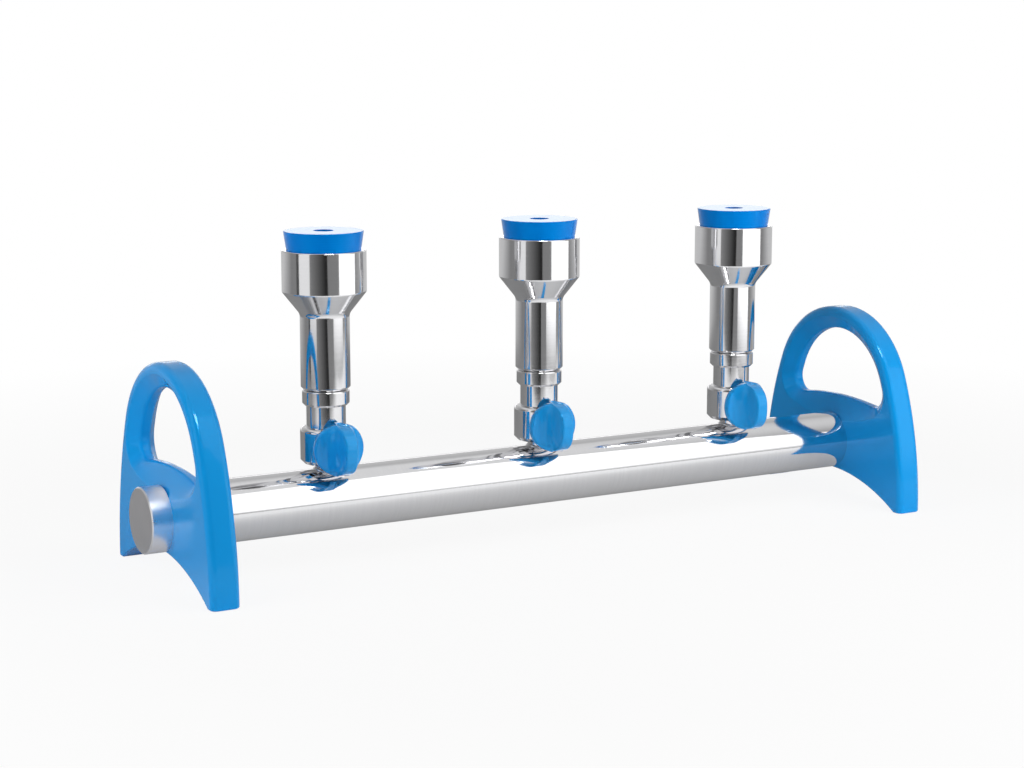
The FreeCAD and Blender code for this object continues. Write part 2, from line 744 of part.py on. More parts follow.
# Knob: a round disc, bored for the stem and cross-drilled for its grub screw.
# The fin for the fingers lies across it, in line with the valve's bore.
def make_knob(station):
    body = new_body(f"station_{station}_knob", along=station_x(station), height=valve_axis)
    outer = "knob_diameter / 2"
    front = f"({knob_back} + knob_thickness)"
    turn(body, "knob_turned", "Y", [
        (f"-{front}", "0"),
        (f"-{front}", f"{outer} - knob_edge_radius", "knob_edge_radius"),
        (f"knob_edge_radius - {front}", outer),
        (f"-({knob_back} + knob_back_edge)", outer, "knob_back_edge"),
        (f"-{knob_back}", f"{outer} - knob_back_edge"),
        (f"-{knob_back}", "stem_diameter / 2 + push_fit"),
        (f"-({knob_back} + {knob_bore_depth})", "stem_diameter / 2 + push_fit"),
        (f"-({knob_back} + {knob_bore_depth})", "0"),
    ])
    screw_hole = new_sketch(body, "screw_hole", "XY_Plane")
    draw_circle(screw_hole, "0", f"-({knob_back} + {knob_bore_depth} / 2)", "grub_diameter + 2 * thread_fit")
    pocket(body, screw_hole, "screw_hole_cut", "knob_diameter", along_normal=False)
    sunk = "knob_front_wall / 2"
    half = f"({outer} - knob_edge_radius - knob_fin_inset)"
    rise = f"(knob_fin_height + {sunk})"
    bend = f"(({half} ^ 2 + {rise} ^ 2) / (2 * {rise}))"
    fin = new_sketch(body, "fin_outline", "YZ_Plane")
    draw_outline(fin, [(f"{sunk} - {front}", f"-{half}"), (f"{sunk} - {front}", half, bend)])
    pad(body, fin, "fin_pad", "knob_fin_width", both_ways=True)
    round_edges(body, "fin_edge_round", "knob_fin_edge", has_radius(bend))
    return body


def has_radius(radius):
    """A test for a round edge by its radius."""
    def wanted(edge):
        return edge.Curve.TypeId == "Part::GeomCircle" and abs(edge.Curve.Radius - value(radius)) < 1e-4
    return wanted


def make_knob_screw(station):
    inner_end = "stem_diameter / 2 + push_fit"
    return turned_piece(f"station_{station}_knob_screw", "Z", [
        (f"-({inner_end} + grub_length)", "0"),
        (f"-({inner_end} + grub_length)", "grub_diameter / 2"),
        (f"-({inner_end})", "grub_diameter / 2"),
        (f"-({inner_end})", "0"),
    ], along=station_x(station), across=f"-({knob_back} + {knob_bore_depth} / 2)", height=valve_axis)


# Adapter: screwed into the valve body, its neck shows and its thread takes ring and holder
def make_adapter(station):
    top = "neck_height + adapter_thread_length"
    return turned_piece(f"station_{station}_adapter", "Z", [
        (f"{ball_room} - valve_body_height / 2", "flow_bore / 2"),
        (f"{ball_room} - valve_body_height / 2", "adapter_spigot / 2"),
        ("0", "adapter_spigot / 2"),
        ("0", "neck_diameter / 2"),
        ("neck_height", "neck_diameter / 2"),
        ("neck_height", "adapter_thread / 2"),
        (top, "adapter_thread / 2"),
        (top, "flow_bore / 2"),
    ], along=station_x(station), height=neck_bottom)


# Lock ring: jams against the funnel holder on the adapter's thread
def make_lock_ring(station):
    outer = "lock_ring_diameter / 2"
    return turned_piece(f"station_{station}_lock_ring", "Z", [
        ("0", "adapter_thread / 2 + thread_fit"),
        ("0", f"{outer} - lock_ring_chamfer"),
        ("lock_ring_chamfer", outer),
        ("lock_ring_height - lock_ring_edge", outer, "lock_ring_edge"),
        ("lock_ring_height", f"{outer} - lock_ring_edge"),
        ("lock_ring_height", "adapter_thread / 2 + thread_fit"),
    ], along=station_x(station), height=ring_bottom)


# Funnel holder: stem, cone and cup in one turned piece, with a taper seat for the stopper
def make_holder(station):
    body = new_body(f"station_{station}_funnel_holder", along=station_x(station), height=holder_bottom)
    stem = "holder_stem_diameter / 2"
    cup = "holder_cup_diameter / 2"
    shoulder = "holder_stem_length + holder_cone_height"
    inserted = "(stopper_height - stopper_exposed)"
    narrowing = "(stopper_top_diameter - stopper_bottom_diameter) / 2 * stopper_exposed / stopper_height"
    seat_foot = "stopper_bottom_diameter / 2 + stopper_fit"
    socket = "adapter_thread / 2 + thread_fit"
    turn(body, "holder_turned", "Z", [
        ("0", socket),
        ("0", f"{stem} - holder_stem_edge"),
        ("holder_stem_edge", stem),
        ("holder_stem_length", stem),
        (shoulder, cup),
        (f"{holder_height} - holder_rim_edge", cup, "holder_rim_edge"),
        (holder_height, f"{cup} - holder_rim_edge"),
        (holder_height, f"stopper_top_diameter / 2 - {narrowing} + stopper_fit"),
        (f"{holder_height} - {inserted}", seat_foot),
        (f"{shoulder} + holder_floor", seat_foot),
        ("holder_stem_length + holder_floor", "holder_bore / 2"),
        (socket_depth, "holder_bore / 2"),
        (socket_depth, socket),
    ])
    round_edges(body, "cone_blend", "holder_cone_blend", ring_at(stem, "holder_stem_length"))
    round_edges(body, "shoulder_round", "holder_shoulder_edge", ring_at(cup, shoulder))
    return body


def make_holder_seal(station):
    return make_seal(f"station_{station}_holder_seal",
                     "adapter_thread / 2 - holder_seal_section / 2 - push_fit", "holder_seal_section", "Z",
                     station_x(station), "0",
                     f"{ring_bottom} + adapter_thread_length + holder_seal_section / 2")


# Stopper: a tapered silicone bung with a bore for the funnel's stem
def make_stopper(station):
    return turned_piece(f"station_{station}_stopper", "Z", [
        ("0", "stopper_bore / 2"),
        ("0", "stopper_bottom_diameter / 2 - stopper_edge"),
        ("stopper_edge", "stopper_bottom_diameter / 2"),
        ("stopper_height - stopper_edge", "stopper_top_diameter / 2", "stopper_edge"),
        ("stopper_height", "stopper_top_diameter / 2 - stopper_edge"),
        ("stopper_height", "stopper_bore / 2"),
    ], along=station_x(station), height=stopper_bottom)


def make_station(station):
    """Every piece of one station, from the tube upwards."""
    return [
        make_nipple(station),
        make_valve_body(station),
        make_seat(station, "lower_seat", -1),
        make_ball(station),
        make_seat(station, "upper_seat", 1),
        make_stem(station),
        make_stem_seal(station),
        make_bush(station),
        make_knob(station),
        make_knob_screw(station),
        make_adapter(station),
        make_lock_ring(station),
        make_holder(station),
        make_holder_seal(station),
        make_stopper(station),
    ]


def finish_and_write():
    """Rebuilds the document, makes sure that nothing failed and writes one file per piece."""
    doc.recompute()
    for item in doc.Objects:
        if "Invalid" in item.State or "Error" in item.State:
            raise RuntimeError(f"{item.Name} failed: {item.State}")
    os.makedirs("parts", exist_ok=True)
    for piece in pieces:
        if piece.Shape.isNull() or not piece.Shape.isValid():
            raise RuntimeError(f"{piece.Label} has no valid shape")
        piece.Shape.exportStep(os.path.join("parts", f"{piece.Label}.step"))
        print(piece.Label, len(piece.Shape.Solids), round(piece.Shape.Volume))


station_count = int(value("station_count"))
pieces = [
    make_tube(),
    make_handle("left_handle", f"{middle_x} - {tube_length} / 2 - handle_thickness / 2"),
    make_handle("right_handle", f"{middle_x} + {tube_length} / 2 + handle_thickness / 2"),
    make_end_plug("left_end_plug", -1, bored=False),
    make_end_plug("right_end_plug", 1, bored=True),
    make_plug_seal("left_plug_seal", -1),
    make_plug_seal("right_plug_seal", 1),
    make_end_cap("left_end_cap", -1, nozzle_hole=False),
    make_end_cap("outlet_cap", 1, nozzle_hole=True),
    make_hose_nozzle("hose_nozzle"),
]
for station in range(1, station_count + 1):
    pieces += make_station(station)
finish_and_write()
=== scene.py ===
import math

import bmesh
import bpy
from mathutils import Matrix, Vector


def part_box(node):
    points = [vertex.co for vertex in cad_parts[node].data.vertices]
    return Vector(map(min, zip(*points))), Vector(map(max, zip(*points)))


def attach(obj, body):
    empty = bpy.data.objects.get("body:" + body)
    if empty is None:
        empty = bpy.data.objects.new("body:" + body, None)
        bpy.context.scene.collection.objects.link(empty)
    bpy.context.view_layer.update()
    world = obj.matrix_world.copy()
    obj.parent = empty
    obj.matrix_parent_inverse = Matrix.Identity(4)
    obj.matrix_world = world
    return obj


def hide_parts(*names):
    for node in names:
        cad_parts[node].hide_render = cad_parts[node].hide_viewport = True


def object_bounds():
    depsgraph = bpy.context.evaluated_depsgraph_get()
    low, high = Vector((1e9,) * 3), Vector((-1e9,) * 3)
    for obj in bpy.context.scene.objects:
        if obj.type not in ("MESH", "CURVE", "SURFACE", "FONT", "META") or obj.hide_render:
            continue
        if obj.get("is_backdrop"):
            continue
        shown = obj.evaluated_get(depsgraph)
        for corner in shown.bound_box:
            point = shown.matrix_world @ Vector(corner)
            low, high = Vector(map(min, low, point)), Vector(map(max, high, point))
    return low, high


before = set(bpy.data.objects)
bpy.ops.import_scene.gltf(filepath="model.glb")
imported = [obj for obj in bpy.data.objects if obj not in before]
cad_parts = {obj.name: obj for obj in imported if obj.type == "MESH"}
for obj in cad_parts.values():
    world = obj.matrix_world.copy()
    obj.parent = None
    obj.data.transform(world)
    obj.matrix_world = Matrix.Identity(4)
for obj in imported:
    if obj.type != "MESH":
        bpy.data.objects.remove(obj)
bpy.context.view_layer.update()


# The camera
# The photograph looks at the manifold from the left and a little above, through a long lens.
# Its place in metres and its turn in radians come from fitting the model's edges to the picture's.
camera_place = Vector((-0.59378, -1.00119, 0.28024))
turned_right = 0.51554
tilted_down = 0.17077
focal_length_pixels = 2217.98
picture_width = 1024
sensor_width = 36.0

lens = bpy.data.cameras.new("camera")
lens.sensor_width = sensor_width
lens.lens = focal_length_pixels / picture_width * sensor_width
camera = bpy.data.objects.new("camera", lens)
camera.location = camera_place
camera.rotation_euler = (math.pi / 2 - tilted_down, 0, -turned_right)
bpy.context.scene.collection.objects.link(camera)
bpy.context.scene.camera = camera


# The floor
# A plain white sheet that fades into the white background and keeps the manifold's soft shadow.
# Polished surfaces see it with painted light: a glow brightest in front of the tube, a painted shade under
# it, and ending in grey.
floor_reach = 3.0
floor_white = (0.94, 0.94, 0.94, 1)
lift_near = 0.91
lift_in_steel = 0.7
fade_start = 0.3
fade_end = 0.65
# Painted light in the floor's mirror image: a glow in front of the tube and a painted shadow behind it.
painted_glow_in_front = 1.15
painted_shadow_behind = 0.2
shade_starts = -0.14
shade_is_full = 0.04
sheet_end = 0.50
sheet_end_fade = 0.2
sheet_front = -0.32
sheet_front_fade = 0.15
grey_in_front = 0.24
grey_behind = 0.60
grey_settles = 0.8
upwards = (0, 0, 1)
across_tube = (0, 1, 0)
behind = (math.sin(turned_right), math.cos(turned_right), 0)


def new_material(name):
    """A material with an empty node tree and its output node."""
    material = bpy.data.materials.new(name)
    material.use_nodes = True
    tree = material.node_tree
    tree.nodes.clear()
    output = tree.nodes.new("ShaderNodeOutputMaterial")
    return material, tree, output


def ramp(tree, value, start, end, low=0.0, high=1.0):
    """A number that goes from low to high, and no further, as the value goes from start to end."""
    made = tree.nodes.new("ShaderNodeMapRange")
    made.inputs["From Min"].default_value = start
    made.inputs["From Max"].default_value = end
    made.inputs["To Min"].default_value = low
    made.inputs["To Max"].default_value = high
    tree.links.new(value, made.inputs["Value"])
    return made.outputs[0]


def combine(tree, operation, first, second):
    """Two numbers put together by one arithmetic step."""
    made = tree.nodes.new("ShaderNodeMath")
    made.operation = operation
    tree.links.new(first, made.inputs[0])
    tree.links.new(second, made.inputs[1])
    return made.outputs[0]


def depth_along(tree, direction, vector):
    """How far a vector goes in a direction."""
    made = tree.nodes.new("ShaderNodeVectorMath")
    made.operation = "DOT_PRODUCT"
    made.inputs[1].default_value = direction
    tree.links.new(vector, made.inputs[0])
    return made.outputs["Value"]


def length_of(tree, vector):
    """How long a vector is."""
    made = tree.nodes.new("ShaderNodeVectorMath")
    made.operation = "LENGTH"
    tree.links.new(vector, made.inputs[0])
    return made.outputs["Value"]


def blend(tree, share, first, second):
    """A number that goes from the first to the second as the share goes from 0 to 1."""
    made = tree.nodes.new("ShaderNodeMix")
    tree.links.new(share, made.inputs["Factor"])
    tree.links.new(first, made.inputs["A"])
    tree.links.new(second, made.inputs["B"])
    return made.outputs["Result"]


def lay_over(tree, share, under, over):
    """One shader laid over another."""
    made = tree.nodes.new("ShaderNodeMixShader")
    tree.links.new(share, made.inputs["Fac"])
    tree.links.new(under, made.inputs[1])
    tree.links.new(over, made.inputs[2])
    return made.outputs[0]


def floor_paper():
    """White paper: the camera sees it lifted to white; polished surfaces see a painted glow in front of
    the tube, painted shade under it, and an end in grey.
    """
    material, tree, output = new_material("floor_paper")
    rays = tree.nodes.new("ShaderNodeLightPath")
    place = tree.nodes.new("ShaderNodeTexCoord").outputs["Object"]
    away = length_of(tree, place)
    depth = depth_along(tree, behind, place)

    paper = tree.nodes.new("ShaderNodeBsdfDiffuse")
    paper.inputs["Color"].default_value = floor_white
    white = tree.nodes.new("ShaderNodeEmission")
    lift = ramp(tree, away, fade_start, fade_end, lift_near, 1.0)
    seen_lift = combine(tree, "MULTIPLY", rays.outputs["Is Camera Ray"], lift)
    seen = lay_over(tree, seen_lift, paper.outputs[0], white.outputs[0])

    past_end = ramp(tree, away, sheet_end, sheet_end + sheet_end_fade)
    past_front = ramp(tree, depth, sheet_front, sheet_front - sheet_front_fade)
    past = combine(tree, "MAXIMUM", past_end, past_front)
    # Seen in polished surfaces the floor glows: a painted highlight in front of the tube and a painted
    # shadow under and behind it.
    near = ramp(tree, depth_along(tree, across_tube, place), shade_starts, shade_is_full,
                painted_glow_in_front, painted_shadow_behind)
    beyond = ramp(tree, depth, 0.0, grey_settles, grey_in_front, grey_behind)
    mirrored = tree.nodes.new("ShaderNodeEmission")
    tree.links.new(blend(tree, past, near, beyond), mirrored.inputs["Strength"])
    mirrored_lift = ramp(tree, past, 0.0, 1.0, lift_in_steel, 1.0)
    mirrored_share = combine(tree, "MULTIPLY", rays.outputs["Is Glossy Ray"], mirrored_lift)
    tree.links.new(lay_over(tree, mirrored_share, seen, mirrored.outputs[0]), output.inputs["Surface"])
    return material


def mesh_object(name, shape):
    """An object at the origin that holds the finished bmesh."""
    mesh = bpy.data.meshes.new(name)
    shape.to_mesh(mesh)
    shape.free()
    made = bpy.data.objects.new(name, mesh)
    bpy.context.scene.collection.objects.link(made)
    return made


sheet = bmesh.new()
bmesh.ops.create_grid(sheet, x_segments=1, y_segments=1, size=floor_reach)
floor = mesh_object("floor", sheet)
floor.data.materials.append(floor_paper())
floor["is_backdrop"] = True


# The room
# Plain white to the camera and an even soft light on matt surfaces. Polished ones mirror it grey,
# paler behind and overhead, with a bright low strip behind that whitens glancing views.
room_light = 0.18
overhead_starts = 0.5
overhead_is_full = 0.85
grey_overhead = 0.80
squarely_behind = 0.95
strip_brightness = 2.2
strip_low = 0.05
strip_low_fade = 0.03
strip_high = 0.17
strip_high_fade = 0.05
strip_starts_behind = 0.75
strip_is_full_behind = 0.9

world = bpy.data.worlds.new("room")
bpy.context.scene.world = world
world.use_nodes = True
tree = world.node_tree
tree.nodes.clear()


def background(strength):
    """An even white room of a given brightness."""
    shade = tree.nodes.new("ShaderNodeBackground")
    shade.inputs["Color"].default_value = (1, 1, 1, 1)
    shade.inputs["Strength"].default_value = strength
    return shade


rays = tree.nodes.new("ShaderNodeLightPath")
direction = tree.nodes.new("ShaderNodeTexCoord").outputs["Generated"]
height = depth_along(tree, upwards, direction)
depth = depth_along(tree, behind, direction)

overhead = ramp(tree, height, overhead_starts, overhead_is_full)
above_grey = ramp(tree, overhead, 0.0, 1.0, grey_in_front, grey_overhead)
level_grey = ramp(tree, depth, 0.0, squarely_behind, grey_in_front, grey_behind)
plain_grey = combine(tree, "MAXIMUM", level_grey, above_grey)

above_foot = ramp(tree, height, strip_low, strip_low + strip_low_fade)
below_head = ramp(tree, height, strip_high, strip_high - strip_high_fade)
far_behind = ramp(tree, depth, strip_starts_behind, strip_is_full_behind, 0.0, strip_brightness)
strip = combine(tree, "MULTIPLY", combine(tree, "MULTIPLY", above_foot, below_head), far_behind)

mirrored_room = background(1.0)
tree.links.new(combine(tree, "MAXIMUM", plain_grey, strip), mirrored_room.inputs["Strength"])
lit_or_mirrored = lay_over(tree, rays.outputs["Is Glossy Ray"], background(room_light).outputs[0],
                           mirrored_room.outputs[0])
seen = lay_over(tree, rays.outputs["Is Camera Ray"], lit_or_mirrored, background(1.0).outputs[0])
output = tree.nodes.new("ShaderNodeOutputWorld")
tree.links.new(seen, output.inputs["Surface"])


# The softboxes
# Two tall soft lamps stand on the floor, one to the right of the camera and one beyond the left
# handle. Polished steel mirrors cards in their places, dimmer at the foot, as its pale bands.
softbox_head = 1.05
lamp_brightness = 1.95
right_softbox_near = Vector((0.034, -0.61, 0))
right_softbox_far = Vector((0.42, -0.255, 0))
left_softbox_near = Vector((-0.59, -0.23, 0))
left_softbox_middle = Vector((-0.687, 0.046, 0))
left_softbox_far = Vector((-0.72, 0.14, 0))
foot_glow_height = 0.06
right_foot_glow = 0.35
right_full_glow = 1.5
left_foot_glow = 0.3
left_full_glow = 0.9
edge_foot_glow = 0.05
edge_full_glow = 0.08


def mirrored_card(name, corners, brightness_at):
    """A card that only polished surfaces see; its brightness is worked out from the place on it."""
    shape = bmesh.new()
    shape.faces.new([shape.verts.new(corner) for corner in corners])
    card = mesh_object(name, shape)
    material, tree, output = new_material(name)
    glow = tree.nodes.new("ShaderNodeEmission")
    place = tree.nodes.new("ShaderNodeTexCoord").outputs["Object"]
    tree.links.new(brightness_at(tree, place), glow.inputs["Strength"])
    tree.links.new(glow.outputs[0], output.inputs["Surface"])
    card.data.materials.append(material)
    card.visible_camera = False
    card.visible_diffuse = False
    card.visible_shadow = False
    card.visible_transmission = False
    card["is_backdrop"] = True


def upright_corners(one_foot, other_foot, head):
    """The four corners of an upright card over the line between two feet."""
    up = Vector((0, 0, head))
    return one_foot, other_foot, other_foot + up, one_foot + up


def foot_to_full(foot, full):
    """Brightness that rises from a card's foot and is even above it."""
    def brightness_at(tree, place):
        return ramp(tree, depth_along(tree, upwards, place), 0.0, foot_glow_height, foot, full)
    return brightness_at


def standing_lamp(name, one_foot, other_foot):
    """A lamp that steel doesn't mirror: an even upright face over the line between two feet."""
    along = other_foot - one_foot
    middle = (one_foot + other_foot) / 2
    facing = Vector((-along.y, along.x, 0))
    if facing.dot(middle) > 0:
        facing.negate()
    lamp = bpy.data.lights.new(name, "AREA")
    lamp.shape = "RECTANGLE"
    lamp.size = along.length
    lamp.size_y = softbox_head
    lamp.energy = lamp_brightness * math.pi * along.length * softbox_head
    stand = bpy.data.objects.new(name, lamp)
    stand.location = middle + Vector((0, 0, softbox_head / 2))
    stand.rotation_euler = facing.to_track_quat("-Z", "Y").to_euler()
    stand.visible_camera = False
    stand.visible_glossy = False
    bpy.context.scene.collection.objects.link(stand)


standing_lamp("right_lamp", right_softbox_near, right_softbox_far)
standing_lamp("left_lamp", left_softbox_near, left_softbox_far)
mirrored_card("right_softbox", upright_corners(right_softbox_near, right_softbox_far, softbox_head),
              foot_to_full(right_foot_glow, right_full_glow))
mirrored_card("left_softbox", upright_corners(left_softbox_near, left_softbox_middle, softbox_head),
              foot_to_full(left_foot_glow, left_full_glow))
mirrored_card("left_softbox_edge", upright_corners(left_softbox_middle, left_softbox_far, softbox_head),
              foot_to_full(edge_foot_glow, edge_full_glow))


# The overhead glint card
# A small card hangs above the camera's side, evenly bright, seen only in reflections and lighting nothing.
# Its mirror image paints glints on the rounded edges of the steel and the plastic.
overhead_middle = Vector((-0.18, -0.60, 1.02))
overhead_half = 0.15
overhead_brightness = 20

overhead_corners = [overhead_middle + Vector((side * overhead_half, ahead * overhead_half, 0))
                    for side, ahead in ((-1, -1), (1, -1), (1, 1), (-1, 1))]
# Painted glints: a glowing card that only polished surfaces see. It is no lamp.
mirrored_card("overhead_glint_card", overhead_corners, foot_to_full(overhead_brightness, overhead_brightness))


# The dark felt
# A strip of dark felt lies on the floor on the camera's side and stands up at its far end.
# Polished steel mirrors it as the dark band down its middle, which pales away to the left.
felt_start = 0.40
felt_end = 1.35
felt_height = 2.4
felt_left = -0.80
felt_right = 0.14
felt_lift = 0.001
felt_pale = 0.26
felt_black = 0.02
felt_black_from = 0.05
to_right = Vector((math.cos(turned_right), -math.sin(turned_right), 0))
to_camera = -Vector(behind)


def felt_place(forward, sideways, up):
    """A place on the felt, sideways given as a share of the distance forward."""
    return to_camera * forward + to_right * forward * sideways + Vector((0, 0, up))


def felt_shade(tree, place):
    """Grey at the felt's left, black from just right of the line towards the camera."""
    forward = depth_along(tree, to_camera, place)
    sideways = depth_along(tree, to_right, place)
    share = combine(tree, "DIVIDE", sideways, forward)
    return ramp(tree, share, felt_left, felt_black_from, felt_pale, felt_black)


lying_corners = [felt_place(forward, sideways, felt_lift)
                 for forward, sideways in ((felt_start, felt_left), (felt_end, felt_left),
                                           (felt_end, felt_right), (felt_start, felt_right))]
mirrored_card("floor_felt", lying_corners, felt_shade)
standing_corners = upright_corners(felt_place(felt_end, felt_left, 0), felt_place(felt_end, felt_right, 0),
                                   felt_height)
mirrored_card("upright_felt", standing_corners, felt_shade)


# The manifold tube
# A length of stainless steel tube, 32 mm across with a 1.5 mm wall, buffed to a mirror.
# Faint polishing lines run round it, and its shine is a little uneven.
steel_pale = (0.83, 0.83, 0.84, 1)
steel_deep = (0.76, 0.76, 0.78, 1)
line_scale = 60
line_detail = 6
line_distance = 0.0002
smear_scale = 30
smear_detail = 3
smear_full = 0.5
brighter_buff = 0.7
duller_buff = 1.4


def noise(tree, place, scale, detail):
    """Soft uneven variation over a piece, between 0 and 1."""
    made = tree.nodes.new("ShaderNodeTexNoise")
    made.inputs["Scale"].default_value = scale
    made.inputs["Detail"].default_value = detail
    tree.links.new(place, made.inputs["Vector"])
    return made.outputs["Fac"]


def between(tree, share, deep, pale):
    """A colour that goes from the deep shade to the pale one as the share goes from 0 to 1."""
    made = tree.nodes.new("ShaderNodeMix")
    made.data_type = "RGBA"
    made.inputs["A"].default_value = deep
    made.inputs["B"].default_value = pale
    tree.links.new(share, made.inputs["Factor"])
    return made.outputs["Result"]


def relief(tree, height, strength, distance):
    """Fine dents in a surface, from a height at each place."""
    made = tree.nodes.new("ShaderNodeBump")
    made.inputs["Strength"].default_value = strength
    made.inputs["Distance"].default_value = distance
    tree.links.new(height, made.inputs["Height"])
    return made.outputs[0]


def put_on_skin(tree, output, settings):
    """The material's skin: each setting is a plain value or comes out of another node."""
    skin = tree.nodes.new("ShaderNodeBsdfPrincipled")
    for setting, value in settings.items():
        if isinstance(value, bpy.types.NodeSocket):
            tree.links.new(value, skin.inputs[setting])
        else:
            skin.inputs[setting].default_value = value
    tree.links.new(skin.outputs[0], output.inputs["Surface"])


def buffed_steel(name, squeeze, roughness, line_strength):
    """Buffed steel: squeeze packs the polishing lines together across the way the buff went."""
    material, tree, output = new_material(name)
    place = tree.nodes.new("ShaderNodeTexCoord").outputs["Object"]
    squeezed = tree.nodes.new("ShaderNodeMapping")
    squeezed.inputs["Scale"].default_value = squeeze
    tree.links.new(place, squeezed.inputs["Vector"])
    lines = noise(tree, squeezed.outputs[0], line_scale, line_detail)
    smears = noise(tree, place, smear_scale, smear_detail)
    smeared_lines = combine(tree, "MULTIPLY", lines, smears)
    put_on_skin(tree, output, {
        "Metallic": 1.0,
        "Base Color": between(tree, lines, steel_deep, steel_pale),
        "Roughness": ramp(tree, smeared_lines, 0.0, smear_full, roughness * brighter_buff,
                          roughness * duller_buff),
        "Normal": relief(tree, lines, line_strength, line_distance)})
    return material


def dress(name, material):
    """Gives a CAD piece its finish in every slot."""
    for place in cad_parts[name].material_slots:
        place.material = material


dress("manifold_tube", buffed_steel("tube_steel", squeeze=(20, 0.5, 0.5), roughness=0.07,
                                    line_strength=0.02))


# The nipples
# Short turned steel necks that carry the valves, pushed into the tube and welded round.
# The weld has been dressed to a small smooth bead that follows the tube's curve.
stations = (1, 2, 3)
tube_low, tube_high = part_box("manifold_tube")
tube_radius = (tube_high[2] - tube_low[2]) / 2
tube_axis = (tube_high[2] + tube_low[2]) / 2
bead_radius = 0.0009
bead_outset = 0.00018
bead_sides = 10
bead_steps = 64

station_steel = buffed_steel("station_steel", squeeze=(0.5, 0.5, 25), roughness=0.09, line_strength=0.015)
weld_steel = buffed_steel("weld_steel", squeeze=(3, 3, 3), roughness=0.22, line_strength=0.6)


def make_weld(name, centre, neck_radius):
    """A ring of round section about a neck, with each place on it raised to the tube's surface."""
    bead = bmesh.new()
    stood_up = Matrix.Translation((neck_radius + bead_outset, 0, 0)) @ Matrix.Rotation(math.pi / 2, 4, "X")
    bmesh.ops.create_circle(bead, segments=bead_sides, radius=bead_radius, matrix=stood_up)
    bmesh.ops.spin(bead, geom=bead.edges[:], cent=(0, 0, 0), axis=upwards, angle=2 * math.pi,
                   steps=bead_steps, use_merge=True)
    for corner in bead.verts:
        corner.co.z += math.sqrt(tube_radius ** 2 - corner.co.y ** 2)
    bmesh.ops.translate(bead, verts=bead.verts, vec=centre)
    bmesh.ops.recalc_face_normals(bead, faces=bead.faces)
    for face in bead.faces:
        face.smooth = True
    return mesh_object(name, bead)


for station in stations:
    nipple = f"station_{station}_nipple"
    dress(nipple, station_steel)
    low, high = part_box(nipple)
    on_axis = Vector(((low[0] + high[0]) / 2, (low[1] + high[1]) / 2, tube_axis))
    weld = make_weld(f"station_{station}_weld", on_axis, (high[0] - low[0]) / 2)
    weld.data.materials.append(weld_steel)
    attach(weld, "frame")


# The handles
# Two thick blue plastic mouldings, handle and foot in one, that clamp the ends of the tube.
# They are glossy, with the faint orange peel and slight clouding of a moulded skin.
handle_blue = (0.006, 0.38, 0.93, 1)
handle_shade = (0.005, 0.35, 0.88, 1)
blue_gloss = (0.05, 0.6, 1.0, 1)
cloud_scale = 22
cloud_detail = 4
glossier_cloud = 0.8
duller_cloud = 1.2
peel_scale = 320
peel_detail = 2
peel_strength = 0.05
peel_distance = 0.0003


def moulded_plastic(name, colour, shade, roughness, coat, gloss_tint):
    """Moulded plastic: clouded between two shades, with orange peel and uneven gloss."""
    material, tree, output = new_material(name)
    place = tree.nodes.new("ShaderNodeTexCoord").outputs["Object"]
    cloud = noise(tree, place, cloud_scale, cloud_detail)
    peel = noise(tree, place, peel_scale, peel_detail)
    put_on_skin(tree, output, {
        "Base Color": between(tree, cloud, shade, colour),
        "Roughness": ramp(tree, cloud, 0.0, 1.0, roughness * glossier_cloud, roughness * duller_cloud),
        "Coat Weight": coat,
        "Specular Tint": gloss_tint,
        "Normal": relief(tree, peel, peel_strength, peel_distance)})
    return material


handle_plastic = moulded_plastic("handle_plastic", handle_blue, handle_shade, roughness=0.18, coat=0.3,
                                 gloss_tint=blue_gloss)
for side in ("left", "right"):
    dress(f"{side}_handle", handle_plastic)


# The end plugs and their seals
# Turned steel plugs close the tube's ends, each with a black rubber ring in its groove.
# Their studs pass through the handles.
seal_black = (0.03, 0.03, 0.03, 1)
seal_shade = (0.02, 0.02, 0.02, 1)
plain_gloss = (1, 1, 1, 1)

seal_rubber = moulded_plastic("seal_rubber", seal_black, seal_shade, roughness=0.55, coat=0,
                              gloss_tint=plain_gloss)
for side in ("left", "right"):
    dress(f"{side}_end_plug", station_steel)
    dress(f"{side}_plug_seal", seal_rubber)


# The end caps and the hose nozzle
# Round steel caps screw onto the studs and clamp the handles, faced on a lathe to a satin grey.
# The outlet cap carries the barbed nozzle for the vacuum hose.
cap_pale = (0.94, 0.93, 0.95, 1)
cap_deep = (0.88, 0.87, 0.89, 1)
cap_roughness_low = 0.24
cap_roughness_high = 0.36
grain_scale = 90
grain_detail = 5
facing_ring = 0.00045
facing_strength = 0.12
facing_distance = 0.0001
away_from_axis = (0, 1, 1)


def waves(tree, length, pitch):
    """A wave between -1 and 1 along a length, one to each pitch."""
    turned = tree.nodes.new("ShaderNodeMath")
    turned.operation = "MULTIPLY"
    turned.inputs[1].default_value = 2 * math.pi / pitch
    tree.links.new(length, turned.inputs[0])
    wave = tree.nodes.new("ShaderNodeMath")
    wave.operation = "SINE"
    tree.links.new(turned.outputs[0], wave.inputs[0])
    return wave.outputs[0]


def faced_steel(name):
    """Satin steel with the fine rings that a facing cut leaves round the tube's axis."""
    material, tree, output = new_material(name)
    place = tree.nodes.new("ShaderNodeTexCoord").outputs["Object"]
    centred = tree.nodes.new("ShaderNodeMapping")
    centred.inputs["Location"].default_value = (0, 0, -tube_axis)
    tree.links.new(place, centred.inputs["Vector"])
    flat = tree.nodes.new("ShaderNodeVectorMath")
    flat.operation = "MULTIPLY"
    flat.inputs[1].default_value = away_from_axis
    tree.links.new(centred.outputs[0], flat.inputs[0])
    rings = waves(tree, length_of(tree, flat.outputs[0]), facing_ring)
    grain = noise(tree, place, grain_scale, grain_detail)
    put_on_skin(tree, output, {
        "Metallic": 1.0,
        "Base Color": between(tree, grain, cap_deep, cap_pale),
        "Roughness": ramp(tree, grain, 0.0, 1.0, cap_roughness_low, cap_roughness_high),
        "Normal": relief(tree, rings, facing_strength, facing_distance)})
    return material


